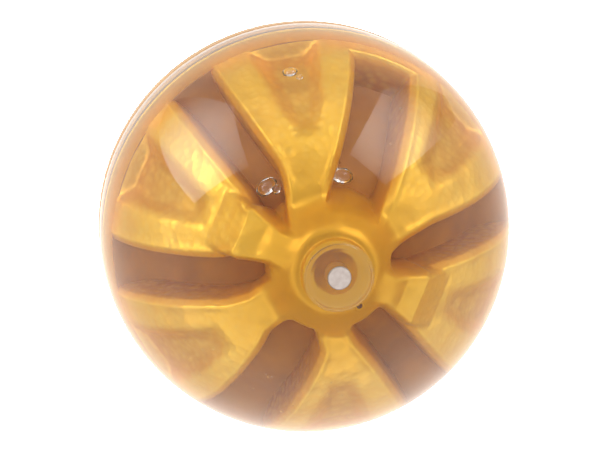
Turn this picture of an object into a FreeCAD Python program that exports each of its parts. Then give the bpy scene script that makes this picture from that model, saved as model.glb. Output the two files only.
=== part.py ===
import FreeCAD, Part
import math
import os

# Round raised pavement marker seen from every side: a solid clear dome cast over a six-arm gold reflector.
# Millimetres. +Z is up, and the origin is the centre of the face that stands on the road.
# The arms of the reflector lie at 0, 60, 120, ... degrees from +X, and the slots halfway between them.

# Driving dimensions: clear dome
DOME_RADIUS = 50.0
EQUATOR_Z = 7.5
SKIRT_WALL = 3.0
SKIRT_BOTTOM_Z = 5.0

# Gold reflector: its arms lie on a sphere whose centre is a little below the dome's
REFLECTOR_RADIUS = 40.5
REFLECTOR_CENTRE_Z = 5.0
REFLECTOR_SKIN = 1.6
FLANGE_RADIUS = 46.5
FLANGE_BOTTOM_Z = 8.6
FLANGE_TOP_Z = 9.8
HUB_FOOT_RADIUS = 15.0
HUB_FOOT_Z = 42.5
HUB_TOP_Z = 48.8
POST_TOP_RADIUS = 7.3
POST_FOOT_RADIUS = 7.6
POST_FOOT_Z = 44.0
POST_TOP_Z = 51.0
POST_BORE_RADIUS = 4.8
POST_BORE_DEPTH = 0.9
VENT_RADIUS = 0.6
VENT_RING = 9.1
VENT_AZIMUTH = 87.0

# Slots between the arms, by azimuth: half widths of the clockwise and anticlockwise sides at the rim,
# half width of the nose, how far the nose leans anticlockwise, and where the slot starts.
# Each floor ramps up to the hub over RAMP_LENGTH.
SLOTS = {30.0: (6.6, 7.0, 3.4, -0.8, 14.2), 90.0: (5.8, 4.2, 4.2, -0.8, 13.5),
         150.0: (4.8, 4.4, 3.2, -2.0, 12.5), 210.0: (6.4, 5.5, 5.2, -0.4, 12.8),
         270.0: (4.8, 4.6, 3.2, 4.2, 12.5), 330.0: (4.8, 5.4, 4.0, -1.4, 14.2)}
RAMP_LENGTH = 5.0
SLOT_END = 41.5
SLOT_NECK_SHARE = 0.85
SLOT_NECK_LEAN = 0.6

# Pockets in the outer ends of the arms, hollows under the arms, and raised pads on two arms
ARM_AZIMUTHS = [0.0, 60.0, 120.0, 180.0, 240.0, 300.0]
PAD_AZIMUTHS = (120.0, 300.0)
POCKET_START = 27.5
POCKET_HALF = 5.6
POCKET_TIP_HALF = 0.8
POCKET_DEPTH = 2.4
CAVITY_START = 19.5
CAVITY_END = 36.0
CAVITY_START_HALF = 2.4
CAVITY_END_HALF = 9.4
PAD_START = 9.0
PAD_NECK = 12.5
PAD_NECK_HALF = 3.8
PAD_EDGE = 19.5
PAD_HALF = 6.2
PAD_END = 25.6
PAD_RISE = 2.4

# Brown inner dome and the frame under it
BACKING_RADIUS = 29.8
BACKING_GAP = 0.2
BACKING_WALL = 2.0
FRAME_RING_OUTER = 26.5
FRAME_RING_WALL = 2.5
FRAME_RING_HEIGHT = 4.0
FRAME_TUBE_RADIUS = 7.0
FRAME_TUBE_FOOT_Z = 17.5
RIB_HALF = 1.1
RIB_START = 5.0
RIB_END = 25.5
FOOT_RIB_START = 15.0
BOSS_RADIUS = 3.2
BOSS_PILOT_RADIUS = 1.25
BOSS_PILOT_TOP_Z = 13.0

# Collar, pin and clip on the axis
COLLAR_RADIUS = 8.0
COLLAR_STEM_RADIUS = 6.5
COLLAR_SEAT_Z = 56.7
COLLAR_TOP_Z = 57.6
COLLAR_LIP = 0.7
COLLAR_SIDE_GAP = 0.15
DISH_RADIUS = 5.4
DISH_FOOT_Z = 57.3
DISH_FOOT_RADIUS = 3.3
PIN_RADIUS = 2.7
PIN_FOOT_Z = 13.9
PIN_TOP_Z = 57.5
PIN_CHAMFER = 0.35
GROOVE_RADIUS = 2.1
GROOVE_BOTTOM_Z = 15.0
GROOVE_TOP_Z = 16.1
CLIP_RADIUS = 6.2
CLIP_BORE_RADIUS = 2.15
CLIP_LIP_WALL = 1.4
CLIP_LIP_TOP_Z = 17.4
CLIP_NOTCH_HALF = 0.4
CLIP_NOTCH_END = 4.6

# Base, its spigot inside the dome's skirt, and the notches in its rim
BASE_RIM_TOP_Z = 4.6
BASE_EDGE = 0.8
SPIGOT_TOP_Z = 6.8
SPIGOT_WALL = 3.2
BOSS_TOP_Z = 13.2
ANCHOR_BOSS_RADIUS = 9.0
NOTCH_INNER_RADIUS = 47.6
NOTCH_FLOOR_Z = 2.6
RIM_NOTCHES = ((209.0, 4.2), (195.6, 2.6))
RIM_POST_AZIMUTHS = (207.6, 211.4)
RIM_POST_RADIUS = 0.6
RIM_POST_RING = 48.7

# Screws, anchor insert and adhesive pad
SCREW_RING = 19.0
SCREW_SHANK_RADIUS = 1.2
SCREW_HOLE_RADIUS = 1.5
SCREW_HEAD_RADIUS = 2.75
SCREW_HEAD_TOP_Z = 3.2
SCREW_TAPER_Z = 11.0
SCREW_TIP_Z = 12.4
SCREW_TIP_RADIUS = 0.4
DRIVE_SLOT_LENGTH = 4.0
DRIVE_SLOT_WIDTH = 0.6
DRIVE_SLOT_DEPTH = 0.6
ANCHOR_BODY_RADIUS = 5.95
ANCHOR_FLANGE_RADIUS = 7.5
ANCHOR_FLANGE_TOP_Z = 2.8
ANCHOR_BORE_RADIUS = 3.4
ANCHOR_LENGTH = 10.2
PAD_RECESS_RADIUS = 45.0
PAD_RECESS_DEPTH = 1.6
PAD_HOLE_RADIUS = 9.5
KEY_GROOVE_START = 30.0
KEY_GROOVE_HALF = 1.2
KEY_GROOVE_DEPTH = 0.6

# Fits
RUNNING_GAP = 0.05
PRESS_GAP = 0.1
GAP = 0.3
OVERLAP = 0.5
ABOVE_ALL_Z = 60.0
BELOW_ALL_Z = -1.0

UP = FreeCAD.Vector(0, 0, 1)
CENTRE = FreeCAD.Vector(0, 0, 0)


def turned(shape, degrees):
    """The shape turned about the marker's axis."""
    copy = shape.copy()
    copy.rotate(CENTRE, UP, degrees)
    return copy


def at_radius(shape, radius, degrees):
    """The shape moved out from the axis and turned to an azimuth."""
    copy = shape.copy()
    copy.translate(FreeCAD.Vector(radius, 0, 0))
    return turned(copy, degrees)


def disc(radius, bottom, top):
    return Part.makeCylinder(radius, top - bottom, FreeCAD.Vector(0, 0, bottom))


def ring(outer, inner, bottom, top):
    return disc(outer, bottom, top).cut(disc(inner, bottom - OVERLAP, top + OVERLAP))


def cone(bottom_radius, top_radius, bottom, top):
    return Part.makeCone(bottom_radius, top_radius, top - bottom, FreeCAD.Vector(0, 0, bottom))


def ball(radius, centre_z=EQUATOR_Z):
    """Sphere about a point of the marker's axis, which is the dome's centre unless said."""
    return Part.makeSphere(radius, FreeCAD.Vector(0, 0, centre_z))


def ball_top(radius, distance, centre_z=EQUATOR_Z):
    """Height of that sphere at a distance from the axis."""
    return centre_z + math.sqrt(radius ** 2 - distance ** 2)


def upper_ball(radius, bottom, centre_z=EQUATOR_Z):
    """The part of the sphere above a level."""
    return ball(radius, centre_z).common(disc(radius + OVERLAP, bottom, ABOVE_ALL_Z))


def arm_ball(inset):
    """Sphere of the arms' outer form, made smaller by an inset."""
    return ball(REFLECTOR_RADIUS - inset, REFLECTOR_CENTRE_Z)


def arm_top(distance, rise=0.0):
    """Height of the arms' outer form, raised by a rise, at a distance from the axis."""
    return ball_top(REFLECTOR_RADIUS + rise, distance, REFLECTOR_CENTRE_Z)


def prism(points, bottom, top):
    """Upright prism over a closed plan outline of (x, y) corners."""
    corners = [FreeCAD.Vector(x, y, bottom) for x, y in points]
    face = Part.Face(Part.makePolygon(corners + corners[:1]))
    return face.extrude(FreeCAD.Vector(0, 0, top - bottom))


def bar(start, end, half, bottom, top):
    """Upright box along +X, centred on it."""
    return Part.makeBox(end - start, 2 * half, top - bottom, FreeCAD.Vector(start, -half, bottom))


def side_prism(points, half):
    """Prism across +X over a closed side outline of (x, z) corners."""
    corners = [FreeCAD.Vector(x, -half, z) for x, z in points]
    face = Part.Face(Part.makePolygon(corners + corners[:1]))
    return face.extrude(FreeCAD.Vector(0, 2 * half, 0))


def slot_void(minus, plus, nose, lean, start):
    """One slot along +X: its nose leans to one side, it widens outwards, its floor ramps up to the hub."""
    neck = start + RAMP_LENGTH
    neck_lean = lean * SLOT_NECK_LEAN
    neck_minus = max(nose, minus * SLOT_NECK_SHARE) - neck_lean
    neck_plus = max(nose, plus * SLOT_NECK_SHARE) + neck_lean
    plan = prism([(start, lean - nose), (neck, -neck_minus), (SLOT_END, -minus), (SLOT_END, plus),
                  (neck, neck_plus), (start, lean + nose)], FLANGE_TOP_Z, ABOVE_ALL_Z)
    ramp_foot = ball_top(BACKING_RADIUS, neck)
    side = side_prism([(start, ABOVE_ALL_Z), (start, arm_top(start)), (neck, ramp_foot),
                       (neck, FLANGE_TOP_Z), (SLOT_END, FLANGE_TOP_Z), (SLOT_END, ABOVE_ALL_Z)], SLOT_END)
    return plan.common(side)


def pocket_void():
    """Triangular pocket along +X in the outer end of an arm, pointing at the hub."""
    plan = prism([(POCKET_START, -POCKET_TIP_HALF), (SLOT_END, -POCKET_HALF), (SLOT_END, POCKET_HALF),
                  (POCKET_START, POCKET_TIP_HALF)], FLANGE_TOP_Z + POCKET_DEPTH, ABOVE_ALL_Z)
    return plan.cut(arm_ball(POCKET_DEPTH))


def arm_cavity():
    """Hollow under one arm along +X that leaves a skin above it and beside the neighbouring slots."""
    plan = prism([(CAVITY_START, -CAVITY_START_HALF), (CAVITY_END, -CAVITY_END_HALF),
                  (CAVITY_END, CAVITY_END_HALF), (CAVITY_START, CAVITY_START_HALF)],
                 FLANGE_BOTTOM_Z - OVERLAP, ABOVE_ALL_Z)
    return plan.common(arm_ball(REFLECTOR_SKIN + POCKET_DEPTH))


def raised_pad():
    """Raised inner end of one arm along +X, wider outwards, that ends in a slope down to the arm."""
    foot_z = ball_top(BACKING_RADIUS, PAD_END)
    widening = (PAD_HALF - PAD_NECK_HALF) / (PAD_EDGE - PAD_NECK)
    start_half = PAD_HALF - widening * (PAD_EDGE - PAD_START)
    end_half = PAD_HALF + widening * (PAD_END - PAD_EDGE)
    plan = prism([(PAD_START, -start_half), (PAD_END, -end_half),
                  (PAD_END, end_half), (PAD_START, start_half)], foot_z, ABOVE_ALL_Z)
    side = side_prism([(PAD_START, foot_z), (PAD_END, foot_z), (PAD_END, arm_top(PAD_END)),
                       (PAD_EDGE, arm_top(PAD_EDGE, PAD_RISE)), (PAD_EDGE, ABOVE_ALL_Z),
                       (PAD_START, ABOVE_ALL_Z)], end_half)
    return plan.common(side).common(arm_ball(-PAD_RISE))


def reflector_form():
    """Outer form of the gold moulding: domed arms, hub with its post, raised pads and a flat flange."""
    voids = []
    for azimuth, sizes in SLOTS.items():
        voids.append(turned(slot_void(*sizes), azimuth))
    for azimuth in ARM_AZIMUTHS:
        voids.append(turned(pocket_void(), azimuth))
    additions = [cone(POST_FOOT_RADIUS, POST_TOP_RADIUS, POST_FOOT_Z, POST_TOP_Z),
                 disc(FLANGE_RADIUS, FLANGE_BOTTOM_Z, FLANGE_TOP_Z)]
    for azimuth in PAD_AZIMUTHS:
        additions.append(turned(raised_pad(), azimuth))
    arms = upper_ball(REFLECTOR_RADIUS, FLANGE_BOTTOM_Z, REFLECTOR_CENTRE_Z)
    hub = cone(HUB_FOOT_RADIUS, POST_FOOT_RADIUS, HUB_FOOT_Z, HUB_TOP_Z)
    return arms.fuse(hub).cut(voids).fuse(additions)


def dome_lens():
    """Clear solid dome cast over the reflector, with a skirt below and a seat for the hub collar."""
    outer = upper_ball(DOME_RADIUS, EQUATOR_Z).fuse(disc(DOME_RADIUS, SKIRT_BOTTOM_Z, EQUATOR_Z))
    foot_space = disc(DOME_RADIUS - SKIRT_WALL, BELOW_ALL_Z, FLANGE_TOP_Z)
    hole = disc(COLLAR_STEM_RADIUS + RUNNING_GAP, POST_TOP_Z, ABOVE_ALL_Z)
    seat = disc(COLLAR_RADIUS + COLLAR_SIDE_GAP, COLLAR_SEAT_Z, ABOVE_ALL_Z)
    return outer.cut([reflector_form(), ball(BACKING_RADIUS), foot_space, hole, seat]).removeSplitter()


def hub_collar():
    """Clear flanged collar in the top of the dome, dished down to the pin."""
    flange = disc(COLLAR_RADIUS, COLLAR_SEAT_Z, COLLAR_TOP_Z)
    top_edges = [edge for edge in flange.Edges if edge.BoundBox.ZMin > COLLAR_SEAT_Z + COLLAR_LIP]
    flange = flange.makeFillet(COLLAR_LIP, top_edges)
    stem = disc(COLLAR_STEM_RADIUS, POST_TOP_Z + GAP, COLLAR_SEAT_Z + PRESS_GAP)
    dish = cone(DISH_FOOT_RADIUS, DISH_RADIUS, DISH_FOOT_Z, COLLAR_TOP_Z + RUNNING_GAP)
    bore = disc(PIN_RADIUS + RUNNING_GAP, POST_TOP_Z, ABOVE_ALL_Z)
    return flange.fuse(stem).cut(dish).cut(bore).removeSplitter()


def centre_pin():
    """Pale pin down the axis; its flat end shows in the collar, a groove near its foot takes the clip."""
    pin = disc(PIN_RADIUS, PIN_FOOT_Z, PIN_TOP_Z)
    pin = pin.makeChamfer(PIN_CHAMFER, [edge for edge in pin.Edges if len(edge.Vertexes) == 1])
    return pin.cut(ring(PIN_RADIUS + OVERLAP, GROOVE_RADIUS, GROOVE_BOTTOM_Z, GROOVE_TOP_Z))


def spoke_reflector():
    """One-piece gold moulding: hub with a cup and a vent hole, six arms that widen outwards, and a flange."""
    cuts = [ball(BACKING_RADIUS + BACKING_GAP)]
    for azimuth in ARM_AZIMUTHS:
        cuts.append(turned(arm_cavity(), azimuth))
    cuts.append(disc(PIN_RADIUS + GAP, FLANGE_BOTTOM_Z, ABOVE_ALL_Z))
    cuts.append(disc(POST_BORE_RADIUS, POST_TOP_Z - POST_BORE_DEPTH, ABOVE_ALL_Z))
    cuts.append(at_radius(disc(VENT_RADIUS, BACKING_RADIUS, ABOVE_ALL_Z), VENT_RING, VENT_AZIMUTH))
    return reflector_form().cut(cuts).removeSplitter()


def slot_backing():
    """Brown inner dome that closes the bottom of the slots; its flat foot stands on the base's spigot."""
    foot_z = SPIGOT_TOP_Z + RUNNING_GAP
    shell = upper_ball(BACKING_RADIUS, foot_z)
    foot = disc(FLANGE_RADIUS - 2 * PRESS_GAP, foot_z, FLANGE_BOTTOM_Z - RUNNING_GAP)
    bore = disc(PIN_RADIUS + GAP, EQUATOR_Z, ABOVE_ALL_Z)
    return shell.fuse(foot).cut([ball(BACKING_RADIUS - BACKING_WALL), bore]).removeSplitter()


def support_frame():
    """Ribbed frame inside the inner dome: centre tube, six ribs, a foot ring and six screw bosses."""
    foot_z = BASE_RIM_TOP_Z + RUNNING_GAP
    top_z = EQUATOR_Z + BACKING_RADIUS
    pieces = [ring(FRAME_RING_OUTER, FRAME_RING_OUTER - FRAME_RING_WALL, foot_z, foot_z + FRAME_RING_HEIGHT)]
    cuts = [disc(PIN_RADIUS + RUNNING_GAP, FRAME_TUBE_FOOT_Z - OVERLAP, ABOVE_ALL_Z)]
    for azimuth in ARM_AZIMUTHS:
        pieces.append(turned(bar(RIB_START, RIB_END, RIB_HALF, FRAME_TUBE_FOOT_Z, top_z), azimuth))
        foot_rib = bar(FOOT_RIB_START, RIB_END, RIB_HALF, foot_z, FRAME_TUBE_FOOT_Z + OVERLAP)
        pieces.append(turned(foot_rib, azimuth))
        pieces.append(at_radius(disc(BOSS_RADIUS, foot_z, FRAME_TUBE_FOOT_Z + OVERLAP), SCREW_RING, azimuth))
        cuts.append(at_radius(disc(BOSS_PILOT_RADIUS, BELOW_ALL_Z, BOSS_PILOT_TOP_Z), SCREW_RING, azimuth))
    under_dome = ball(BACKING_RADIUS - BACKING_WALL - RUNNING_GAP)
    frame = disc(FRAME_TUBE_RADIUS, FRAME_TUBE_FOOT_Z, top_z).fuse(pieces).common(under_dome)
    return frame.cut(cuts).removeSplitter()


def pin_clip():
    """Push-on clip in the pin's groove, pulled up against the frame's centre tube."""
    bottom = GROOVE_BOTTOM_Z + PRESS_GAP
    top = GROOVE_TOP_Z - PRESS_GAP
    clip = ring(CLIP_RADIUS, CLIP_BORE_RADIUS, bottom, top)
    for azimuth in (0.0, 90.0, 180.0, 270.0):
        notch = bar(GROOVE_RADIUS - PRESS_GAP, CLIP_NOTCH_END, CLIP_NOTCH_HALF, BELOW_ALL_Z, CLIP_LIP_TOP_Z)
        clip = clip.cut(turned(notch, azimuth))
    lip = ring(CLIP_RADIUS, CLIP_RADIUS - CLIP_LIP_WALL, top - PRESS_GAP, CLIP_LIP_TOP_Z)
    return clip.fuse(lip).removeSplitter()


def rim_notches():
    """Radial bites through the base's rim and the gasket."""
    reach = DOME_RADIUS + OVERLAP
    bites = []
    for azimuth, half_angle in RIM_NOTCHES:
        half = reach * math.tan(math.radians(half_angle))
        bites.append(turned(bar(NOTCH_INNER_RADIUS, reach, half, NOTCH_FLOOR_Z, SPIGOT_TOP_Z), azimuth))
    return bites


def base_shell():
    """Base with the lower rim, a spigot inside the dome skirt, a pad recess and a blind anchor boss."""
    body = disc(DOME_RADIUS, 0.0, BASE_RIM_TOP_Z)
    body = body.makeFillet(BASE_EDGE, [edge for edge in body.Edges if len(edge.Vertexes) == 1])
    spigot = DOME_RADIUS - SKIRT_WALL - GAP
    body = body.fuse([ring(spigot, spigot - SPIGOT_WALL, BASE_RIM_TOP_Z - OVERLAP, SPIGOT_TOP_Z),
                      disc(ANCHOR_BOSS_RADIUS, BASE_RIM_TOP_Z - OVERLAP, BOSS_TOP_Z)])
    cuts = [disc(PAD_RECESS_RADIUS, BELOW_ALL_Z, PAD_RECESS_DEPTH),
            disc(ANCHOR_BODY_RADIUS + RUNNING_GAP, BELOW_ALL_Z, PAD_RECESS_DEPTH + ANCHOR_LENGTH + PRESS_GAP),
            disc(ANCHOR_FLANGE_RADIUS + PRESS_GAP, BELOW_ALL_Z, ANCHOR_FLANGE_TOP_Z + PRESS_GAP)]
    for azimuth in ARM_AZIMUTHS:
        cuts.append(at_radius(disc(SCREW_HOLE_RADIUS, BELOW_ALL_Z, SPIGOT_TOP_Z), SCREW_RING, azimuth))
        counterbore = disc(SCREW_HEAD_RADIUS + PRESS_GAP, BELOW_ALL_Z, SCREW_HEAD_TOP_Z)
        cuts.append(at_radius(counterbore, SCREW_RING, azimuth))
    return body.cut(cuts).cut(rim_notches()).removeSplitter()


def seal_ring():
    """Thin brown gasket between the dome skirt and the base rim, open at the two rim notches."""
    gasket = ring(DOME_RADIUS - GAP, DOME_RADIUS - SKIRT_WALL + PRESS_GAP, BASE_RIM_TOP_Z, SKIRT_BOTTOM_Z)
    return gasket.cut(rim_notches())


def rim_posts():
    """Two short pale posts that stand in the wider rim notch."""
    post = disc(RIM_POST_RADIUS, NOTCH_FLOOR_Z, SKIRT_BOTTOM_Z)
    return Part.makeCompound([at_radius(post, RIM_POST_RING, azimuth) for azimuth in RIM_POST_AZIMUTHS])


def base_screws():
    """Six identical cross-slotted screws from below, through the base into the frame."""
    head_bottom = PAD_RECESS_DEPTH + PRESS_GAP
    head = disc(SCREW_HEAD_RADIUS, head_bottom, SCREW_HEAD_TOP_Z)
    slot = bar(-DRIVE_SLOT_LENGTH / 2, DRIVE_SLOT_LENGTH / 2, DRIVE_SLOT_WIDTH / 2, BELOW_ALL_Z,
               head_bottom + DRIVE_SLOT_DEPTH)
    head = head.cut([slot, turned(slot, 90.0)])
    screw = head.fuse([disc(SCREW_SHANK_RADIUS, SCREW_HEAD_TOP_Z - PRESS_GAP, SCREW_TAPER_Z),
                       cone(SCREW_SHANK_RADIUS, SCREW_TIP_RADIUS, SCREW_TAPER_Z, SCREW_TIP_Z)])
    return Part.makeCompound([at_radius(screw, SCREW_RING, azimuth) for azimuth in ARM_AZIMUTHS])


def anchor_insert():
    """Threaded brass insert for the road anchor bolt, flanged below and open at both ends."""
    body = disc(ANCHOR_BODY_RADIUS, PAD_RECESS_DEPTH, PAD_RECESS_DEPTH + ANCHOR_LENGTH)
    flange = disc(ANCHOR_FLANGE_RADIUS, PAD_RECESS_DEPTH, ANCHOR_FLANGE_TOP_Z)
    return body.fuse(flange).cut(disc(ANCHOR_BORE_RADIUS, BELOW_ALL_Z, ABOVE_ALL_Z)).removeSplitter()


def adhesive_pad():
    """Butyl pad in the base's recess, with a hole for the anchor bolt and six key grooves."""
    pad = ring(PAD_RECESS_RADIUS - GAP, PAD_HOLE_RADIUS, 0.0, PAD_RECESS_DEPTH)
    for azimuth in SLOTS:
        groove = bar(KEY_GROOVE_START, PAD_RECESS_RADIUS, KEY_GROOVE_HALF, BELOW_ALL_Z, KEY_GROOVE_DEPTH)
        pad = pad.cut(turned(groove, azimuth))
    return pad


NODES = {
    "dome_lens": dome_lens,
    "hub_collar": hub_collar,
    "centre_pin": centre_pin,
    "spoke_reflector": spoke_reflector,
    "slot_backing": slot_backing,
    "support_frame": support_frame,
    "pin_clip": pin_clip,
    "base_shell": base_shell,
    "seal_ring": seal_ring,
    "rim_posts": rim_posts,
    "base_screws": base_screws,
    "anchor_insert": anchor_insert,
    "adhesive_pad": adhesive_pad,
}

os.makedirs("parts", exist_ok=True)
for name, make in NODES.items():
    shape = make()
    shape.exportStep("parts/" + name + ".step")
    box = shape.BoundBox
    print(name, "solids", len(shape.Solids), "valid", shape.isValid(), "volume", round(shape.Volume, 1),
          "z", round(box.ZMin, 2), round(box.ZMax, 2), "r", round(box.XMax, 2))
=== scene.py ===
import math
import random

import bpy
import numpy as np
from mathutils import Matrix, Vector, noise


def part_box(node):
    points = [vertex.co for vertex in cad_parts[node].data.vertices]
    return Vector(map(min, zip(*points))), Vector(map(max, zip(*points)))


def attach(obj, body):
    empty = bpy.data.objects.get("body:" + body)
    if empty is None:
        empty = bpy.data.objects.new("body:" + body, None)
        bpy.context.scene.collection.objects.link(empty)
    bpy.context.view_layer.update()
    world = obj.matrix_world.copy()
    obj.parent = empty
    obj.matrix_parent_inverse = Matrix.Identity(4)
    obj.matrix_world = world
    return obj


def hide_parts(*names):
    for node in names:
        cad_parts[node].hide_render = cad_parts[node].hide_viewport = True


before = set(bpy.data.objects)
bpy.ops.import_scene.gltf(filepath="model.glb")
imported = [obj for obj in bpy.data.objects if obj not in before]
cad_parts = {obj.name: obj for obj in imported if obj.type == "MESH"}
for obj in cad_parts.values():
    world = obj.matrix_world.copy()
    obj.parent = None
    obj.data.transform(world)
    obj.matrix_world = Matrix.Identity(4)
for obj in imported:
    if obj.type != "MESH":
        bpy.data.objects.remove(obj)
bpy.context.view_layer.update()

# Sizes in metres. Z is up, and the axis of the marker is the Z axis.
MM = 0.001

# Clear dome: its foot is bedded in the gasket, and it is bonded round the pin
EQUATOR_Z = 7.5 * MM
DOME_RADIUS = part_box("dome_lens")[1][0]
DOME_INSET = 0.05 * MM
DOME_ROWS = 170
DOME_COLUMNS = 240
SKIRT_BOTTOM_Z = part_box("dome_lens")[0][2]
SKIRT_BED = 0.12 * MM
FOOT_ROUND = 0.4 * MM
BORE_OVERLAP = 0.15 * MM

# Collar on the dome, and the pin in it
COLLAR_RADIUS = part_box("hub_collar")[1][0]
COLLAR_LIP = 0.4 * MM
LIP_WIDTH = 1.8 * MM
COLLAR_SINK = 0.12 * MM
COLLAR_ROOT = 0.2 * MM
COLLAR_DISH = 0.2 * MM
DISH_RADIUS = 5.4 * MM
COLLAR_BEAD = 0.15 * MM
BEAD_INSET = 0.55 * MM
BEAD_WIDTH = 0.3 * MM
COLLAR_UNDER_ROWS = 12
COLLAR_TOP_ROWS = 90
COLLAR_COLUMNS = 128
PIN_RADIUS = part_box("centre_pin")[1][0]
PIN_TOP_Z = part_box("centre_pin")[1][2]
PIN_ROUND = 0.4 * MM
PIN_CHAMFER = 0.3 * MM
PIN_COLUMNS = 64

# Gold moulding: sphere of the arms, flange, hub and post; a larger blend number makes a sharper join
REFLECTOR_RADIUS = 40.5 * MM
REFLECTOR_CENTRE_Z = 5.0 * MM
FLANGE_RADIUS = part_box("spoke_reflector")[1][0]
FLANGE_BOTTOM_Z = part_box("spoke_reflector")[0][2]
FLANGE_TOP_Z = FLANGE_BOTTOM_Z + 1.2 * MM
FLANGE_EDGE = 0.3 * MM
HUB_RISE = 4.9 * MM
HUB_FOOT_RADIUS = 16.0 * MM
HUB_BLEND = 1500
POST_TOP_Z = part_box("spoke_reflector")[1][2]
POST_TOP_RADIUS = 7.3 * MM
POST_FOOT_RADIUS = 7.6 * MM
POST_FOOT_Z = 44.0 * MM
POST_BORE_RADIUS = 4.8 * MM
POST_BORE_DEPTH = 0.9 * MM
POST_BLEND = 2500
GOLD_REACH = 8.5 * MM

# Its skin: rows from the post to the flange, columns in each slot's sector, and a faint swell
SLOT_PITCH = math.radians(60)
FINE_ROW_STEP = math.radians(0.22)
ROW_STEP = math.radians(0.55)
LEAST_ROW_GAP = math.radians(0.6)
SECTOR_COLUMNS = 72
COLUMN_SHARES = (0.0, 0.17, 0.38, 0.62, 0.83, 1.0)
CROWD_REACH = 2.0 * MM
CROWD_INWARD_SHARE = 0.6
CROWD_ROOM = math.radians(0.8)
SKIN_SWELL = 0.22 * MM
HUB_SWELL = 0.2 * MM
HUB_SWELL_RISE = (8.0 * MM, 11.0 * MM)
HUB_SWELL_FALL = (17.0 * MM, 24.0 * MM)

# Slots at 30, 90, ... degrees from +X, in millimetres: half widths on the clockwise and anticlockwise sides,
# half width of the nose, how far the inner end leans anticlockwise, and where the slot starts
SLOTS = {30: (6.6, 7.0, 3.4, -0.8, 14.2), 90: (5.8, 4.2, 4.2, -0.8, 13.5), 150: (4.8, 4.4, 3.2, -2.0, 12.5),
         210: (6.4, 5.9, 6.2, 0.6, 12.8), 270: (4.8, 4.6, 3.2, 4.2, 12.5), 330: (4.8, 5.4, 2.8, -1.9, 13.4)}
SLOT_LEAN_END = 25.0 * MM
SLOT_NECK_SHARE = 0.85
SLOT_NECK_LENGTH = 5.0 * MM
NOSE_TIP_LENGTH = 2.0 * MM
NOSE_TIP_SHARE = 0.6
LEAST_SLOT_HALF = 0.3 * MM
LEAST_ARM_TURN = math.radians(2.5)
SLOT_DEPTH = 12.6 * MM
CLOSED_SLOT = 210
CLOSED_SLOT_POLAR = math.radians(79)
FLOOR_LEAD = 1.5 * MM
RAMP = 5.0 * MM
LONG_RAMP = 10.5 * MM
LONG_RAMP_SLOTS = (210, 270)
SHOULDER_WIDTH = 1.7 * MM
SHOULDER_DROP = 1.3 * MM
SHOULDER_POWER = 1.6
CREST_RISE = 0.3 * MM
CREST_WIDTH = 0.8 * MM
WALL_SPAN = (-0.2 * MM, 1.1 * MM)

# Pockets in the outer ends of the arms
POCKET_START = 27.6 * MM
POCKET_END_POLAR = math.radians(85.6)
POCKET_DEPTH = 3.7 * MM
POCKET_TIP_HALF = 2.4 * MM
POCKET_TIP_SHARE = 0.35
POCKET_WIDENING = 0.33
POCKET_SIDE_SPAN = (-1.9 * MM, 2.9 * MM)

# Raised inner ends of two arms
PAD_AZIMUTHS = (120, 300)
PAD_START = 9.0 * MM
PAD_NECK = 12.5 * MM
PAD_EDGE = 19.5 * MM
PAD_END = 25.6 * MM
PAD_HUB_HALF = 3.8 * MM
PAD_HALF = 6.2 * MM
PAD_RISE = 2.7 * MM
PAD_SIDE_SPAN = (-0.6 * MM, 1.0 * MM)
PAD_HUB_SPAN = (PAD_START - 0.5 * MM, PAD_NECK + 2.5 * MM)
PAD_FADE = 2.5 * MM

# Vent hole in the hub
VENT_AZIMUTH = math.radians(87)
VENT_RING = 9.3 * MM
VENT_PROUD = 0.5 * MM
VENT_COLUMNS = 28

# Brown dome under the slots, with its two polar angles in degrees
BACKING_RADIUS = 29.8 * MM
BACKING_ROWS = 80
BACKING_COLUMNS = 180
BACKING_START_POLAR = 6
BACKING_SWELL = 0.25 * MM
FLARE_POLAR = 70
FLARE_STEPS = 14
FLARE_RADIUS = 40.0 * MM
FOOT_RING_WIDTH = 2.0 * MM

# Bubbles in the dome: azimuth in degrees, distances from the axis and from the dome's centre and radius in
# millimetres, stretch along the surface and squash across it
BUBBLES = {"bubble_slot_a": (271, 19.2, 32.6, 1.6, 1.4, 0.75),
           "bubble_slot_a_small": (267, 18.0, 33.2, 0.9, 1.1, 0.8),
           "bubble_slot_b": (222.5, 17.7, 33.8, 1.6, 1.4, 0.75),
           "bubble_slot_b_small": (227, 19.9, 33.2, 0.9, 1.2, 0.9),
           "bubble_pocket": (241, 37.6, 40.4, 1.3, 1.2, 0.65),
           "bubble_pocket_small": (238.5, 36.9, 40.6, 0.7, 1.0, 0.9)}
BUBBLE_WOBBLE = 0.08
FINE_BUBBLE_SECTORS = [(352, 368)] * 6 + [(20, 62)] * 12 + [(180, 300)] * 6
FINE_BUBBLE_SEED = 11

# Camera above the marker, about 16 degrees off its axis
CAMERA_AZIMUTH = math.radians(266.1)
CAMERA_ELEVATION = math.radians(73.95)
CAMERA_DISTANCE = 0.55
CAMERA_LENS = 134.9
CAMERA_SHIFT = (-0.0078, 0.0040)
AXIS_ON_IMAGE = math.radians(-55.5)


# ---------------------------------------------------------------- node helpers

def new_material(name):
    """An empty node material and its node tree, with the output node."""
    material = bpy.data.materials.new(name)
    material.use_nodes = True
    tree = material.node_tree
    tree.nodes.clear()
    output = tree.nodes.new("ShaderNodeOutputMaterial")
    return material, tree, output


def add(tree, kind, **sockets):
    """A node with its sockets set: numbers and colours as values, sockets as links."""
    node = tree.nodes.new("ShaderNode" + kind)
    for name, value in sockets.items():
        socket = node.inputs[name.replace("_", " ")]
        if isinstance(value, bpy.types.NodeSocket):
            tree.links.new(value, socket)
        else:
            socket.default_value = value
    return node


def place_on_marker(tree):
    """The object's own coordinates, which are metres in the marker's frame."""
    return tree.nodes.new("ShaderNodeTexCoord").outputs["Object"]


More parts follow.
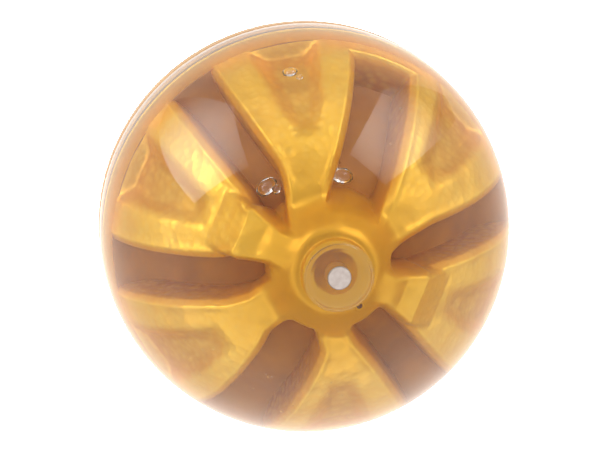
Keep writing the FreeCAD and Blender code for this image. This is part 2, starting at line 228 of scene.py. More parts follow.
def object_noise(tree, scale, detail, roughness=0.5):
    """Noise over the object's own coordinates."""
    place = place_on_marker(tree)
    node = add(tree, "TexNoise", Vector=place, Scale=scale, Detail=detail, Roughness=roughness)
    return node.outputs["Fac"]


def spread(tree, value, low, high, from_low=0.3, from_high=0.7):
    """A value mapped from one range, which is a noise's usual one unless given, to another."""
    node = tree.nodes.new("ShaderNodeMapRange")
    node.clamp = True
    numbers = {"From Min": from_low, "From Max": from_high, "To Min": low, "To Max": high}
    for socket, number in numbers.items():
        node.inputs[socket].default_value = number
    tree.links.new(value, node.inputs["Value"])
    return node.outputs["Result"]


def colour_mix(tree, factor, first, second):
    """Two colours mixed by the factor's socket; each colour is a value or a socket."""
    node = tree.nodes.new("ShaderNodeMix")
    node.data_type = "RGBA"
    tree.links.new(factor, node.inputs["Factor"])
    for index, colour in ((6, first), (7, second)):
        if isinstance(colour, bpy.types.NodeSocket):
            tree.links.new(colour, node.inputs[index])
        else:
            node.inputs[index].default_value = (*colour, 1)
    return node.outputs[2]


def bump(tree, height, distance, strength, normal=None):
    """Normal of a surface whose height is a socket from 0 to 1 over a distance, on top of another normal."""
    node = add(tree, "Bump", Height=height, Distance=distance, Strength=strength)
    if normal is not None:
        tree.links.new(normal, node.inputs["Normal"])
    return node.outputs["Normal"]


def principled(tree, output, **sockets):
    """A Principled shader as the surface."""
    node = add(tree, "BsdfPrincipled", **sockets)
    tree.links.new(node.outputs["BSDF"], output.inputs["Surface"])


def multiply(tree, first, second):
    """Product of two sockets."""
    product = add(tree, "Math", Value=first)
    product.operation = "MULTIPLY"
    tree.links.new(second, product.inputs[1])
    return product.outputs[0]


# ---------------------------------------------------------------- materials

def from_centre(tree, share):
    """Distance of a point from the centre of the arms' sphere, or from the axis where share of z is 0."""
    shifted = tree.nodes.new("ShaderNodeVectorMath")
    shifted.operation = "SUBTRACT"
    tree.links.new(place_on_marker(tree), shifted.inputs[0])
    shifted.inputs[1].default_value = (0, 0, REFLECTOR_CENTRE_Z)
    scaled = tree.nodes.new("ShaderNodeVectorMath")
    scaled.operation = "MULTIPLY"
    tree.links.new(shifted.outputs[0], scaled.inputs[0])
    scaled.inputs[1].default_value = (1, 1, share)
    length = tree.nodes.new("ShaderNodeVectorMath")
    length.operation = "LENGTH"
    tree.links.new(scaled.outputs[0], length.inputs[0])
    return length.outputs["Value"]


def ramp(tree, value, stops):
    """Colour ramp through (position, colour) stops."""
    node = tree.nodes.new("ShaderNodeValToRGB")
    elements = node.color_ramp.elements
    while len(elements) < len(stops):
        elements.new(0.5)
    for element, (position, colour) in zip(elements, stops):
        element.position = position
        element.color = (*colour, 1)
    tree.links.new(value, node.inputs["Fac"])
    return node.outputs["Color"]


def gold_material():
    """Gold metallised moulding: pebbled arms whose pebble tops carry a painted highlight, painted shade that
    makes the skin browner the lower it lies, and a painted shadow on one side of the hub's cup.
    """
    material, tree, output = new_material("gold_metallised")
    # Painted shade: the skin's colour runs from bright gold on the arms to dark brown on the slot walls,
    # ramps and pockets, by depth below the arms' sphere with noise on that depth
    blotches = spread(tree, object_noise(tree, 75.0, 3.0), -0.5 * MM, 0.5 * MM)
    depth = add(tree, "Math", Value=from_centre(tree, 1))
    depth.operation = "ADD"
    tree.links.new(blotches, depth.inputs[1])
    level = spread(tree, depth.outputs[0], 0, 1, REFLECTOR_RADIUS - GOLD_REACH, REFLECTOR_RADIUS + 0.5 * MM)
    gold = ramp(tree, level, ((0.0, (0.54, 0.21, 0.014)), (0.36, (0.62, 0.26, 0.018)),
                              (0.58, (0.76, 0.36, 0.022)), (0.86, (0.90, 0.465, 0.022)),
                              (1.0, (0.98, 0.56, 0.030))))
    ring = from_centre(tree, 0)
    hub_share = spread(tree, ring, 1, 0, 8.0 * MM, 26.0 * MM)
    colour = colour_mix(tree, hub_share, gold, (0.86, 0.42, 0.014))
    recess = spread(tree, ring, 1, 0, POST_BORE_RADIUS - 0.3 * MM, POST_BORE_RADIUS + 0.3 * MM)
    # Painted shadow: the cup's floor is painted brown on its -Y side, by the cup's wall, and bright gold on
    # the other side
    across = add(tree, "SeparateXYZ", Vector=place_on_marker(tree))
    cup_shadow_share = spread(tree, across.outputs["Y"], 1, 0, -2.2 * MM, 1.6 * MM)
    shaded_cup_colour = colour_mix(tree, cup_shadow_share, (1.0, 0.54, 0.024), (0.66, 0.31, 0.05))
    # Deep parts near the hub take the painted-shade ramp rather than the hub's colour
    deep = spread(tree, from_centre(tree, 1), 1, 0, 31.0 * MM, 35.0 * MM)
    colour = colour_mix(tree, deep, colour, gold)
    on_post = spread(tree, ring, 1, 0, POST_TOP_RADIUS - 0.4 * MM, POST_TOP_RADIUS + 0.4 * MM)
    colour = colour_mix(tree, on_post, colour, (1.0, 0.53, 0.022))
    colour = colour_mix(tree, recess, colour, shaded_cup_colour)
    cells = add(tree, "TexVoronoi", Vector=place_on_marker(tree), Scale=620.0)
    pebbles = cells.outputs["Distance"]
    # The pebbles are a real grain, given by the bump below; their lighter, yellower tops are painted
    # highlight
    pebble_grain_and_glint = spread(tree, pebbles, 0.3, 0.0, 0.1, 0.7)
    on_arms = spread(tree, ring, 0, 1, 15.0 * MM, 27.0 * MM)
    colour = colour_mix(tree, multiply(tree, pebble_grain_and_glint, on_arms), colour, (1.0, 0.66, 0.10))
    pebble_strength = spread(tree, ring, 0.0, 0.6, 14.0 * MM, 24.0 * MM)
    normal = bump(tree, pebbles, 0.17 * MM, pebble_strength)
    swell_strength = spread(tree, ring, 0.25, 0.6, 10.0 * MM, 22.0 * MM)
    normal = bump(tree, object_noise(tree, 150.0, 1.0), 0.26 * MM, swell_strength, normal)
    roughness = spread(tree, object_noise(tree, 260.0, 2.0), 0.32, 0.44)
    off_post = spread(tree, ring, 0.1, 1, POST_TOP_RADIUS - 0.4 * MM, POST_TOP_RADIUS + 0.6 * MM)
    plated = multiply(tree, spread(tree, level, 0.1, 0.5, 0.2, 0.7), off_post)
    principled(tree, output, Base_Color=colour, Metallic=plated, Roughness=roughness, Normal=normal)
    return material


def brown_material():
    """Brown moulding that closes the slots."""
    material, tree, output = new_material("brown_backing")
    blotches = object_noise(tree, 110.0, 4.0)
    colour = colour_mix(tree, spread(tree, blotches, 0, 1), (0.44, 0.155, 0.006), (0.60, 0.235, 0.016))
    normal = bump(tree, object_noise(tree, 300.0, 3.0), 0.3 * MM, 0.4)
    roughness = spread(tree, blotches, 0.42, 0.6)
    principled(tree, output, Base_Color=colour, Roughness=roughness, Normal=normal, Specular_IOR_Level=0.2)
    return material


def clear_material(name, colour, roughness_low, roughness_high, wave):
    """Clear moulding that lets lamps through to what it covers."""
    material, tree, output = new_material(name)
    grain = object_noise(tree, 60.0, 3.0)
    glass = add(tree, "BsdfPrincipled", Base_Color=(*colour, 1), IOR=1.49, Transmission_Weight=1.0,
                Roughness=spread(tree, grain, roughness_low, roughness_high),
                Normal=bump(tree, object_noise(tree, 28.0, 1.0), wave, 0.4))
    through = add(tree, "BsdfTransparent", Color=(*colour, 1))
    path = tree.nodes.new("ShaderNodeLightPath")
    mix = tree.nodes.new("ShaderNodeMixShader")
    tree.links.new(path.outputs["Is Shadow Ray"], mix.inputs[0])
    tree.links.new(glass.outputs[0], mix.inputs[1])
    tree.links.new(through.outputs[0], mix.inputs[2])
    tree.links.new(mix.outputs[0], output.inputs["Surface"])
    return material


def plastic_material(name, dark, light, rough_low, rough_high, grain=900.0, depth=0.05 * MM):
    """Moulded plastic with a fine grain and faint colour drift."""
    material, tree, output = new_material(name)
    drift = object_noise(tree, 70.0, 3.0)
    colour = colour_mix(tree, spread(tree, drift, 0, 1), dark, light)
    normal = bump(tree, object_noise(tree, grain, 2.0), depth, 0.6)
    roughness = spread(tree, drift, rough_low, rough_high)
    principled(tree, output, Base_Color=colour, Roughness=roughness, Normal=normal)
    return material


def pin_material():
    """Amber pin whose cut end is pale, with faint cutting marks."""
    material, tree, output = new_material("pale_pin_end")
    height = tree.nodes.new("ShaderNodeSeparateXYZ")
    tree.links.new(place_on_marker(tree), height.inputs[0])
    pale_share = spread(tree, height.outputs["Z"], 0, 1, PIN_TOP_Z - 0.7 * MM, PIN_TOP_Z - 0.35 * MM)
    drift = object_noise(tree, 900.0, 3.0)
    pale = colour_mix(tree, spread(tree, drift, 0, 1), (0.74, 0.61, 0.54), (0.88, 0.76, 0.69))
    colour = colour_mix(tree, pale_share, (0.80, 0.40, 0.05), pale)
    normal = bump(tree, object_noise(tree, 1700.0, 2.0), 0.08 * MM, 0.6)
    principled(tree, output, Base_Color=colour, Roughness=spread(tree, drift, 0.38, 0.55), Normal=normal)
    return material


def metal_material(name, dark, light, rough_low, rough_high):
    """Turned or plated metal with fine marks."""
    material, tree, output = new_material(name)
    marks = object_noise(tree, 500.0, 5.0, 0.7)
    colour = colour_mix(tree, spread(tree, marks, 0, 1), dark, light)
    normal = bump(tree, object_noise(tree, 1500.0, 3.0), 0.03 * MM, 0.5)
    roughness = spread(tree, marks, rough_low, rough_high)
    principled(tree, output, Base_Color=colour, Metallic=1.0, Roughness=roughness, Normal=normal)
    return material


GOLD = gold_material()
BROWN = brown_material()
CLEAR = clear_material("clear_lens", (1.0, 0.992, 0.978), 0.004, 0.02, 0.15 * MM)
AMBER = plastic_material("amber_base", (0.66, 0.33, 0.085), (0.82, 0.45, 0.14), 0.22, 0.34)
FRAME = plastic_material("frame_plastic", (0.018, 0.017, 0.016), (0.04, 0.038, 0.036), 0.5, 0.65, 1200.0)
GASKET = plastic_material("gasket_rubber", (0.22, 0.095, 0.032), (0.32, 0.15, 0.055), 0.55, 0.75)
PIN = pin_material()
PALE = plastic_material("pale_pin", (0.56, 0.53, 0.55), (0.72, 0.69, 0.71), 0.35, 0.5, 1600.0, 0.08 * MM)
BUTYL = plastic_material("butyl_pad", (0.012, 0.012, 0.013), (0.03, 0.03, 0.032), 0.6, 0.85, 380.0, 0.3 * MM)
STEEL = metal_material("spring_steel", (0.42, 0.42, 0.43), (0.66, 0.66, 0.67), 0.22, 0.42)
BRASS = metal_material("insert_brass", (0.62, 0.42, 0.16), (0.80, 0.60, 0.28), 0.2, 0.4)


# ---------------------------------------------------------------- mesh helpers

SHARP_ANGLE = math.radians(50)


def add_mesh(name, vertices, faces, material):
    """A mesh piece on the marker's one body."""
    mesh = bpy.data.meshes.new(name)
    mesh.from_pydata([tuple(v) for v in vertices], [], [tuple(f) for f in faces])
    mesh.validate()
    mesh.polygons.foreach_set("use_smooth", [True] * len(mesh.polygons))
    mesh.set_sharp_from_angle(angle=SHARP_ANGLE)
    mesh.materials.append(material)
    piece = bpy.data.objects.new(name, mesh)
    bpy.context.scene.collection.objects.link(piece)
    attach(piece, "root")
    return piece


def ring_faces(rows, columns, closed=False):
    """Quads of a grid whose columns run once round the axis; closed joins the last row to the first."""
    faces = []
    for row in range(rows if closed else rows - 1):
        below = row * columns
        above = (row + 1) % rows * columns
        for column in range(columns):
            after = (column + 1) % columns
            faces.append((below + column, below + after, above + after, above + column))
    return faces


def lathe(profile, columns):
    """Vertices of a profile of (radius, z) points turned round the axis."""
    turns = np.linspace(0, 2 * math.pi, columns, endpoint=False)
    return [(radius * math.cos(t), radius * math.sin(t), z) for radius, z in profile for t in turns]


def lathed_piece(name, profile, columns, material):
    """A closed solid of revolution from a closed profile."""
    faces = ring_faces(len(profile), columns, closed=True)
    return add_mesh(name, lathe(profile, columns), faces, material)


def arc(centre, radius, start, end, steps):
    """Points of an arc in the (radius, z) plane, angles in degrees."""
    angles = np.radians(np.linspace(start, end, steps))
    return [(centre[0] + radius * math.cos(a), centre[1] + radius * math.sin(a)) for a in angles]


def smooth_step(low, high, value):
    """Rise from 0 to 1 between two values, level at both ends."""
    x = np.clip((value - low) / (high - low), 0, 1)
    return x * x * (3 - 2 * x)


# ---------------------------------------------------------------- reflector

def arm_level(polars):
    """Distance from the dome's centre of the arms' sphere, whose own centre lies a little lower."""
    below = EQUATOR_Z - REFLECTOR_CENTRE_Z
    return np.sqrt(REFLECTOR_RADIUS ** 2 - (below * np.sin(polars)) ** 2) - below * np.cos(polars)


def ring_radius(polar):
    """Distance from the axis of the arms' outer form at a polar angle from the dome's centre."""
    return arm_level(polar) * np.sin(polar)


def hub_level(polars):
    """The arms' sphere with the low rise of the hub round the post."""
    rise = HUB_RISE * (1 - smooth_step(POST_TOP_RADIUS, HUB_FOOT_RADIUS, ring_radius(polars)))
    return arm_level(polars) + rise


def hub_form(polars):
    """Distance from the dome's centre of the hub and arms before they are cut: a post on a sphere."""
    slope = (POST_FOOT_RADIUS - POST_TOP_RADIUS) / (POST_TOP_Z - POST_FOOT_Z)
    apex = POST_TOP_Z - EQUATOR_Z + POST_TOP_RADIUS / slope
    cone = apex * slope / (np.sin(polars) + np.cos(polars) * slope)
    top = (POST_TOP_Z - EQUATOR_Z) / np.cos(polars)
    post = -np.log(np.exp(-cone * POST_BLEND) + np.exp(-top * POST_BLEND)) / POST_BLEND
    return np.log(np.exp(post * HUB_BLEND) + np.exp(hub_level(polars) * HUB_BLEND)) / HUB_BLEND


def row_polars():
    """Polar angles of the rows, closer together over the hub and the slots' ramps."""
    polars = [math.atan2(POST_BORE_RADIUS, POST_TOP_Z - EQUATOR_Z)]
    last = math.acos((FLANGE_TOP_Z - EQUATOR_Z) / REFLECTOR_RADIUS)
    fine_until = math.asin(PAD_END / REFLECTOR_RADIUS)
    while polars[-1] < last - LEAST_ROW_GAP:
        polars.append(polars[-1] + (FINE_ROW_STEP if polars[-1] < fine_until else ROW_STEP))
    return np.array(polars + [last])


def side_half(radius, rim_half, nose, lean, start, beside_pad):
    """Half width of a slot on one side, at distances from the axis; a lean moves its inner end sideways."""
    stops = (start - NOSE_TIP_LENGTH, start, start + SLOT_NECK_LENGTH, REFLECTOR_RADIUS + 2 * MM)
    neck_half = max(nose, rim_half * SLOT_NECK_SHARE)
    half = np.interp(radius, stops, (NOSE_TIP_SHARE * nose, nose, neck_half, rim_half))
    half = half + lean * (1 - smooth_step(start, SLOT_LEAN_END, radius))
    if not beside_pad:
        return half
    pad_half = np.interp(radius, (PAD_NECK, PAD_EDGE), (PAD_HUB_HALF, PAD_HALF))
    room = radius * (SLOT_PITCH / 2 - np.arcsin(np.minimum(pad_half / radius, 0.5)))
    pinched = np.minimum(half, np.maximum(room, LEAST_SLOT_HALF))
    return pinched + (half - pinched) * smooth_step(PAD_EDGE, PAD_EDGE + PAD_FADE, radius)


def slot_drop(radius, inside, start, ramp_end):
    """How far the surface falls below the arms: a rounded shoulder, a sloped wall and a ramped floor."""
    shoulder = SHOULDER_DROP * np.clip((inside + SHOULDER_WIDTH) / SHOULDER_WIDTH, 0, 1) ** SHOULDER_POWER
    crest = CREST_RISE * np.exp(-((inside + SHOULDER_WIDTH) / CREST_WIDTH) ** 2)
    wall = (SLOT_DEPTH - SHOULDER_DROP) * smooth_step(*WALL_SPAN, inside)
    floor = smooth_step(start - FLOOR_LEAD, ramp_end, radius)
    return (shoulder + wall - crest) * floor


def pocket_drop(polar, radius, arm_turn):
    """Recess with soft sides in the outer end of an arm, wider and deeper towards the rim."""
    along = radius * np.cos(arm_turn)
    across = np.abs(radius * np.sin(arm_turn))
    half = POCKET_TIP_HALF + POCKET_WIDENING * (along - POCKET_START)
    to_rim = REFLECTOR_RADIUS * (POCKET_END_POLAR - polar)
    inside = np.minimum(np.minimum(half - across, along - POCKET_START), to_rim)
    depth = POCKET_DEPTH * np.interp(along, (POCKET_START, REFLECTOR_RADIUS), (POCKET_TIP_SHARE, 1.0))
    return depth * smooth_step(*POCKET_SIDE_SPAN, inside)


def pad_lift(radius, arm_turn):
    """Raised inner end of an arm with a straight ridge and a flat slope beyond it."""
    along = radius * np.cos(arm_turn)
    across = np.abs(radius * np.sin(arm_turn))
    half = np.interp(along, (PAD_NECK, PAD_EDGE), (PAD_HUB_HALF, PAD_HALF))
    across_share = smooth_step(*PAD_SIDE_SPAN, half - across)
    hub_end = smooth_step(*PAD_HUB_SPAN, along)
    return PAD_RISE * across_share * hub_end * np.interp(along, (PAD_EDGE, PAD_END), (1, 0))


def column_turns(minus_turn, plus_turn, reach):
    """Turns of a slot sector's columns from the slot's middle; they crowd at the slot's two sides."""
    inward = CROWD_INWARD_SHARE * reach
    marks = (-SLOT_PITCH / 2, -minus_turn - reach, -minus_turn + inward,
             plus_turn - inward, plus_turn + reach, SLOT_PITCH / 2)
    return np.interp(np.linspace(0, 1, SECTOR_COLUMNS + 1)[:-1], COLUMN_SHARES, marks)


def skin_row(polar, form):
    """Vertices of one row of the gold skin, all the way round."""
    radius = float(ring_radius(polar))
    hub_share = float(smooth_step(*HUB_SWELL_RISE, radius) * (1 - smooth_step(*HUB_SWELL_FALL, radius)))
    row = []
    for middle, sizes in SLOTS.items():
        minus, plus, nose, lean, start = [size * MM for size in sizes]
        minus_half = float(side_half(radius, minus, nose, -lean, start, (middle - 30) % 360 in PAD_AZIMUTHS))
        plus_half = float(side_half(radius, plus, nose, lean, start, (middle + 30) % 360 in PAD_AZIMUTHS))
        limit = SLOT_PITCH / 2 - LEAST_ARM_TURN
        minus_turn = min(minus_half / radius, limit)
        plus_turn = min(plus_half / radius, limit)
        room = SLOT_PITCH / 2 - max(minus_turn, plus_turn) - CROWD_ROOM
        reach = min(CROWD_REACH / radius, room)
        turns = column_turns(minus_turn, plus_turn, reach)
        inside = np.minimum(minus_turn + turns, plus_turn - turns) * radius
        arm_turn = SLOT_PITCH / 2 - np.abs(turns)
        if middle == CLOSED_SLOT:
            inside = np.minimum(inside, REFLECTOR_RADIUS * (CLOSED_SLOT_POLAR - polar))
        ramp_end = start + (LONG_RAMP if middle in LONG_RAMP_SLOTS else RAMP)
        drop = slot_drop(radius, inside, start, ramp_end) + pocket_drop(polar, radius, arm_turn)
        arms = np.where(turns < 0, (middle - 30) % 360, (middle + 30) % 360)
        lift = np.where(np.isin(arms, PAD_AZIMUTHS), pad_lift(radius, arm_turn), 0.0)
        for azimuth, level in zip(math.radians(middle) + turns, form - drop + lift):
            level_part = math.sin(polar)
            out = Vector((level_part * math.cos(azimuth), level_part * math.sin(azimuth), math.cos(polar)))
            swell = SKIN_SWELL * noise.noise(out * 8.0 + Vector((3.1, 0.7, 5.2)))
            swell += hub_share * HUB_SWELL * noise.noise(out * 11.0 + Vector((1.9, 4.4, 0.3)))
            point = out * float(level + swell)
            row.append((point.x, point.y, point.z + EQUATOR_Z))
    return row


def reflector():
    """The gold moulding as one skin: cup, post, arms with pockets and raised pads, slot walls and flange."""
    polars = row_polars()
    rows = [skin_row(polar, form) for polar, form in zip(polars, hub_form(polars))]
    columns = len(rows[0])
    cup_floor_z = POST_TOP_Z - POST_BORE_DEPTH
    inner = [(PIN_RADIUS - 0.1 * MM, cup_floor_z - 0.1 * MM),
             (PIN_RADIUS + 0.5 * MM, cup_floor_z),
             (PIN_RADIUS + 1.2 * MM, cup_floor_z + 0.2 * MM),
             (POST_BORE_RADIUS - 0.3 * MM, POST_TOP_Z - 0.12 * MM)]
    outer = [(41.0 * MM, FLANGE_TOP_Z), (43 * MM, FLANGE_TOP_Z), (FLANGE_RADIUS - FLANGE_EDGE, FLANGE_TOP_Z),
             (FLANGE_RADIUS, FLANGE_TOP_Z - FLANGE_EDGE), (FLANGE_RADIUS, FLANGE_BOTTOM_Z)]
    cup_angles = [math.atan2(y, x) for x, y, z in rows[0]]
    rim_angles = [math.atan2(y, x) for x, y, z in rows[-1]]
    vertices = [(radius * math.cos(a), radius * math.sin(a), z) for radius, z in inner for a in cup_angles]
    for row in rows:
        vertices += row
    vertices += [(radius * math.cos(a), radius * math.sin(a), z) for radius, z in outer for a in rim_angles]
    faces = ring_faces(len(rows) + len(inner) + len(outer), columns)
    piece = add_mesh("reflector_skin", vertices, faces, GOLD)
    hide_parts("spoke_reflector")


def backing():
    """Brown inner dome with a slightly wavy skin that flares out under the slots, and its foot ring."""
    foot_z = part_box("slot_backing")[0][2]
    foot_radius = FLANGE_RADIUS - FLANGE_EDGE
    rows = np.radians(np.linspace(BACKING_START_POLAR, FLARE_POLAR, BACKING_ROWS))
    profile = [(BACKING_RADIUS * math.sin(a), EQUATOR_Z + BACKING_RADIUS * math.cos(a)) for a in rows]
    start_radius, start_z = profile[-1]
    flare_z = FLANGE_TOP_Z + 0.15 * MM
    knee = start_radius + (start_z - flare_z) / math.tan(math.radians(FLARE_POLAR))
    for share in np.linspace(0, 1, FLARE_STEPS)[1:]:
        near, middle, far = (1 - share) ** 2, 2 * share * (1 - share), share ** 2
        profile.append((near * start_radius + middle * knee + far * FLARE_RADIUS,
                        near * start_z + (middle + far) * flare_z))
    foot_top_z = FLANGE_BOTTOM_Z - 0.05 * MM
    profile += [(FLARE_RADIUS + 0.2 * MM, foot_top_z), (foot_radius, foot_top_z)]
    profile += [(foot_radius, foot_z), (BACKING_RADIUS - FOOT_RING_WIDTH, foot_z)]
    vertices = []
    for x, y, z in lathe(profile, BACKING_COLUMNS):
        direction = Vector((x, y, z - EQUATOR_Z)).normalized()
        swell = BACKING_SWELL * (noise.noise(direction * 7.0) - 1) if z > FLANGE_TOP_Z else 0.0
        vertices.append(Vector((x, y, z)) + direction * swell)
    faces = ring_faces(len(profile), BACKING_COLUMNS)
    piece = add_mesh("backing_dome", vertices, faces, BROWN)
    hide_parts("slot_backing")


# ---------------------------------------------------------------- clear pieces

def dome():
    """Clear solid dome bonded to the reflector, the pin and the base, with a rounded foot."""
    inner = FLANGE_RADIUS - 0.2 * MM
    bore = PIN_RADIUS - BORE_OVERLAP
    top_angle = math.degrees(math.acos(bore / DOME_RADIUS))
    profile = arc((0.0, EQUATOR_Z), DOME_RADIUS - DOME_INSET, 0, top_angle, DOME_ROWS)
    profile += [(bore, FLANGE_TOP_Z), (bore, FLANGE_BOTTOM_Z + 0.1 * MM), (inner, FLANGE_BOTTOM_Z + 0.1 * MM)]
    foot_z = SKIRT_BOTTOM_Z - SKIRT_BED
    profile += [(inner, foot_z), (DOME_RADIUS - FOOT_ROUND, foot_z), (DOME_RADIUS, foot_z + FOOT_ROUND)]
    piece = lathed_piece("dome_body", profile, DOME_COLUMNS, CLEAR)
    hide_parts("dome_lens")


def collar():
    """Low clear collar bonded to the dome's top: a beaded soft lip, and a faint dish round the pin."""
    bore = PIN_RADIUS - BORE_OVERLAP
    profile = []
    for radius in np.linspace(bore, COLLAR_RADIUS, COLLAR_UNDER_ROWS):
        under = COLLAR_SINK + DOME_INSET + COLLAR_ROOT * (1 - (radius / COLLAR_RADIUS) ** 4)
        profile.append((radius, EQUATOR_Z + math.sqrt((DOME_RADIUS - under) ** 2 - radius ** 2)))
    for radius in np.linspace(COLLAR_RADIUS, bore, COLLAR_TOP_ROWS)[1:]:
        skin = EQUATOR_Z + math.sqrt((DOME_RADIUS - DOME_INSET) ** 2 - radius ** 2)
        lip = 1 - smooth_step(COLLAR_RADIUS - LIP_WIDTH, COLLAR_RADIUS, radius)
        dish = 1 - smooth_step(PIN_RADIUS, DISH_RADIUS, radius)
        bead = COLLAR_BEAD * math.exp(-((radius - COLLAR_RADIUS + BEAD_INSET) / BEAD_WIDTH) ** 2)
        relief = float(lip) * COLLAR_LIP - float(dish) * COLLAR_DISH + bead
        profile.append((radius, skin - COLLAR_SINK + relief))
    piece = lathed_piece("collar_ring", profile, COLLAR_COLUMNS, CLEAR)
    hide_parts("hub_collar")


def pin():
    """Pin with a softly rounded, slightly dished pale end."""
    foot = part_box("centre_pin")[0][2]
    profile = [(0.05 * MM, PIN_TOP_Z - 0.12 * MM), (1.2 * MM, PIN_TOP_Z - 0.05 * MM)]
    profile += arc((PIN_RADIUS - PIN_ROUND, PIN_TOP_Z - PIN_ROUND), PIN_ROUND, 90, 0, 8)
    profile += [(PIN_RADIUS, foot + PIN_CHAMFER), (PIN_RADIUS - PIN_CHAMFER, foot), (0.05 * MM, foot)]
    piece = lathed_piece("pin_shank", profile, PIN_COLUMNS, PIN)
    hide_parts("centre_pin")


def on_dome(azimuth, ring, depth_radius):
    """Point at a distance from the axis and a distance from the dome's centre."""
    height = math.sqrt(max(depth_radius ** 2 - ring ** 2, 0.0))
    return Vector((ring * math.cos(azimuth), ring * math.sin(azimuth), EQUATOR_Z + height))


def bubble(name, place, radius, stretch, squash):
    """Air bubble trapped in the clear dome; its faces point inwards because air is on the inside."""
    out = (place - Vector((0, 0, EQUATOR_Z))).normalized()
    side = out.cross(Vector((0, 0, 1))).normalized()
    down = side.cross(out)
    rows, columns = (12, 20) if radius > 0.5 * MM else (6, 8)
    vertices = []
    for polar in np.linspace(0.02, math.pi - 0.02, rows):
        for turn in np.linspace(0, 2 * math.pi, columns, endpoint=False):
            wobble = 1 + BUBBLE_WOBBLE * math.sin(2 * turn + 9 * polar)
            local = (side * math.cos(turn) * stretch + down * math.sin(turn)) * math.sin(polar) * wobble
            vertices.append(place + (local + out * math.cos(polar) * squash) * radius)
    add_mesh(name, vertices, ring_faces(rows, columns), CLEAR)


def bubbles():
    """Pairs of bubbles at the hub ends of two slots and in a pocket, and scattered fine ones."""
    for name, (azimuth, ring, depth_radius, radius, stretch, squash) in BUBBLES.items():
        place = on_dome(math.radians(azimuth), ring * MM, depth_radius * MM)
        bubble(name, place, radius * MM, stretch, squash)
    chance = random.Random(FINE_BUBBLE_SEED)
    for index, (low, high) in enumerate(FINE_BUBBLE_SECTORS):
        azimuth = math.radians(chance.uniform(low, high))
        ring = chance.uniform(24.0, 38.0) * MM
        place = on_dome(azimuth, ring, chance.uniform(39.0, 46.0) * MM)
        bubble("bubble_fine_%02d" % index, place, chance.uniform(0.18, 0.36) * MM, 1.0, 1.0)


def vent():
    """Rim of the vent hole in the hub, and a dark dish in its mouth as painted shade for the hole's depth."""
    level = float(hub_level(math.asin(VENT_RING / REFLECTOR_RADIUS)))
    centre = on_dome(VENT_AZIMUTH, VENT_RING, level + VENT_PROUD)
    rim = [(0.62, -0.1), (0.66, 0.12), (0.8, 0.2), (0.98, 0.14), (1.1, -0.1)]
    # The mouth is a shallow dish in the gasket's dark brown: painted shade standing in for the depth of the
    # hole
    mouth = [(0.02, -0.25), (0.4, -0.22), (0.64, 0.1)]
    for name, outline, material, slot in (("vent_rim", rim, GOLD, "gold_metallised"),
                                          ("vent_shade_dish", mouth, GASKET, "gasket_rubber")):
        profile = [(radius * MM, z * MM) for radius, z in outline]
        vertices = [centre + Vector(point) for point in lathe(profile, VENT_COLUMNS)]
        add_mesh(name, vertices, ring_faces(len(profile), VENT_COLUMNS), material)


reflector()
backing()
dome()
collar()
pin()
vent()
bubbles()

for node, material in (("base_shell", AMBER), ("seal_ring", GASKET), ("rim_posts", PALE),
                       ("support_frame", FRAME), ("pin_clip", STEEL), ("base_screws", STEEL),
                       ("anchor_insert", BRASS), ("adhesive_pad", BUTYL)):
    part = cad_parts[node]
    part.data.materials.clear()
    part.data.materials.append(material)


# ---------------------------------------------------------------- camera, lights and floor

def camera_axes():
    """Right, up and back directions of the camera; the marker's axis leans the way AXIS_ON_IMAGE says."""
    level = math.cos(CAMERA_ELEVATION)
    back = Vector((level * math.cos(CAMERA_AZIMUTH), level * math.sin(CAMERA_AZIMUTH),
                   math.sin(CAMERA_ELEVATION)))
    axis = Vector((0, 0, 1))
    lean = (axis - back * axis.dot(back)).normalized()
    side = back.cross(lean)
    right = lean * math.cos(AXIS_ON_IMAGE) - side * math.sin(AXIS_ON_IMAGE)
    up = lean * math.sin(AXIS_ON_IMAGE) + side * math.cos(AXIS_ON_IMAGE)
    return right, up, back


RIGHT, UP, BACK = camera_axes()
DOME_CENTRE = Vector((0, 0, EQUATOR_Z))

# Strengths of the light tent, the softboxes' fall-off and the floor's glow
TENT_SIDES = 1.66
TENT_TOP = 0.42
TENT_DIM_SHARE = 0.84
TENT_BRIGHT_SHARE = 1.18
BRIGHT_SIDE = (0.87, 0.5, 0.0)
SOFTBOX_EDGE_SHARE = 0.16
SOFTBOX_CORE_REACH = 0.85
FLOOR_GLOW = 14.0
FLOOR_REACH = 1.6


def add_camera():
    """Camera that looks at the dome's centre, shifted a little so that the marker lies as in the photo."""
    data = bpy.data.cameras.new("camera")
    data.lens = CAMERA_LENS
    data.shift_x, data.shift_y = CAMERA_SHIFT
    data.clip_start = 0.01
    camera = bpy.data.objects.new("camera", data)
    bpy.context.scene.collection.objects.link(camera)
    turn = Matrix((RIGHT, UP, BACK)).transposed()
    camera.matrix_world = Matrix.Translation(DOME_CENTRE + BACK * CAMERA_DISTANCE) @ turn.to_4x4()
    bpy.context.scene.camera = camera


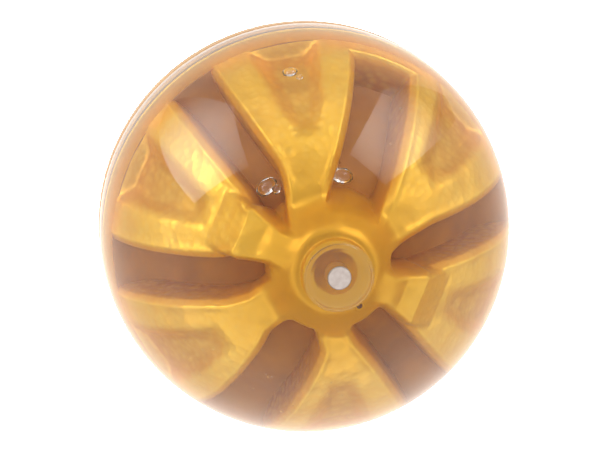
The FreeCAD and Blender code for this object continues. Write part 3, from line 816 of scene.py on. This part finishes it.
def softbox(name, off_axis, around, corners, core, strength):
    """Glowing panel 1 m from the dome, brightest at its core; its two angles are from the camera's axis."""
    off, turn = math.radians(off_axis), math.radians(around)
    out = (RIGHT * math.cos(turn) + UP * math.sin(turn)) * math.sin(off) + BACK * math.cos(off)
    tangent = BACK.cross(out).normalized()
    inward = out.cross(tangent)
    material, tree, output = new_material(name + "_glow")
    from_core = tree.nodes.new("ShaderNodeVectorMath")
    from_core.operation = "DISTANCE"
    tree.links.new(place_on_marker(tree), from_core.inputs[0])
    from_core.inputs[1].default_value = tangent * core[0] + inward * core[1]
    edge_strength = strength * SOFTBOX_EDGE_SHARE
    level = spread(tree, from_core.outputs["Value"], strength, edge_strength, 0.1, SOFTBOX_CORE_REACH)
    level.node.interpolation_type = "SMOOTHSTEP"
    glow = add(tree, "Emission", Color=(1, 0.985, 0.97, 1), Strength=level)
    tree.links.new(glow.outputs[0], output.inputs["Surface"])
    mesh = bpy.data.meshes.new(name)
    mesh.from_pydata([tuple(tangent * u + inward * v) for u, v in corners], [], [tuple(range(len(corners)))])
    mesh.materials.append(material)
    box = bpy.data.objects.new(name, mesh)
    box.location = DOME_CENTRE + out
    box.visible_camera = False
    box.visible_diffuse = False
    bpy.context.scene.collection.objects.link(box)


def add_floor():
    """Pale floor, brighter to the camera than to the marker."""
    material, tree, output = new_material("pale_floor")
    grain = object_noise(tree, 40.0, 3.0)
    colour = colour_mix(tree, spread(tree, grain, 0, 1), (0.86, 0.86, 0.86), (0.9, 0.9, 0.9))
    plain = add(tree, "BsdfDiffuse", Color=colour)
    glow = add(tree, "Emission", Color=(1, 1, 1, 1), Strength=FLOOR_GLOW)
    both = add(tree, "AddShader")
    tree.links.new(plain.outputs[0], both.inputs[0])
    tree.links.new(glow.outputs[0], both.inputs[1])
    path = tree.nodes.new("ShaderNodeLightPath")
    mix = tree.nodes.new("ShaderNodeMixShader")
    tree.links.new(path.outputs["Is Camera Ray"], mix.inputs[0])
    tree.links.new(plain.outputs[0], mix.inputs[1])
    tree.links.new(both.outputs[0], mix.inputs[2])
    tree.links.new(mix.outputs[0], output.inputs["Surface"])
    mesh = bpy.data.meshes.new("floor")
    corners = [(x * FLOOR_REACH, y * FLOOR_REACH, 0) for x, y in ((-1, -1), (1, -1), (1, 1), (-1, 1))]
    mesh.from_pydata(corners, [], [(0, 1, 2, 3)])
    mesh.materials.append(material)
    floor = bpy.data.objects.new("floor", mesh)
    floor.visible_glossy = False
    bpy.context.scene.collection.objects.link(floor)


def add_world():
    """Light tent: bright round the sides, brightest on one side, and dimmer straight above."""
    world = bpy.data.worlds.new("studio")
    world.use_nodes = True
    tree = world.node_tree
    direction = tree.nodes.new("ShaderNodeTexCoord").outputs["Generated"]
    height = add(tree, "SeparateXYZ", Vector=direction)
    level = spread(tree, height.outputs["Z"], TENT_SIDES, TENT_TOP, 0.0, 0.92)
    towards = add(tree, "VectorMath")
    towards.operation = "DOT_PRODUCT"
    tree.links.new(direction, towards.inputs[0])
    towards.inputs[1].default_value = BRIGHT_SIDE
    tilt = spread(tree, towards.outputs["Value"], TENT_DIM_SHARE, TENT_BRIGHT_SHARE, -0.7, 0.7)
    background = tree.nodes["Background"]
    below = spread(tree, height.outputs["Z"], 1, 0, -0.25, 0.1)
    tree.links.new(colour_mix(tree, below, (1.0, 1.0, 1.0), (1.0, 0.88, 0.78)), background.inputs["Color"])
    tree.links.new(multiply(tree, level, tilt), background.inputs["Strength"])
    bpy.context.scene.world = world
    bpy.context.scene.view_settings.view_transform = "Standard"


add_camera()
add_world()
add_floor()
softbox("softbox_left", 86.6, 146.7,
        ((-0.19, -0.67), (-0.49, 0.11), (-0.24, 0.93), (0.37, 0.48), (0.02, -0.39), (-0.11, -0.64)),
        (0.05, 0.27), 6.0)
softbox("softbox_right", 89.9, 43.6,
        ((0.30, -0.09), (0.27, 0.98), (-0.28, 0.89), (-0.14, -0.66), (-0.01, -0.92)),
        (0.07, 0.40), 4.6)
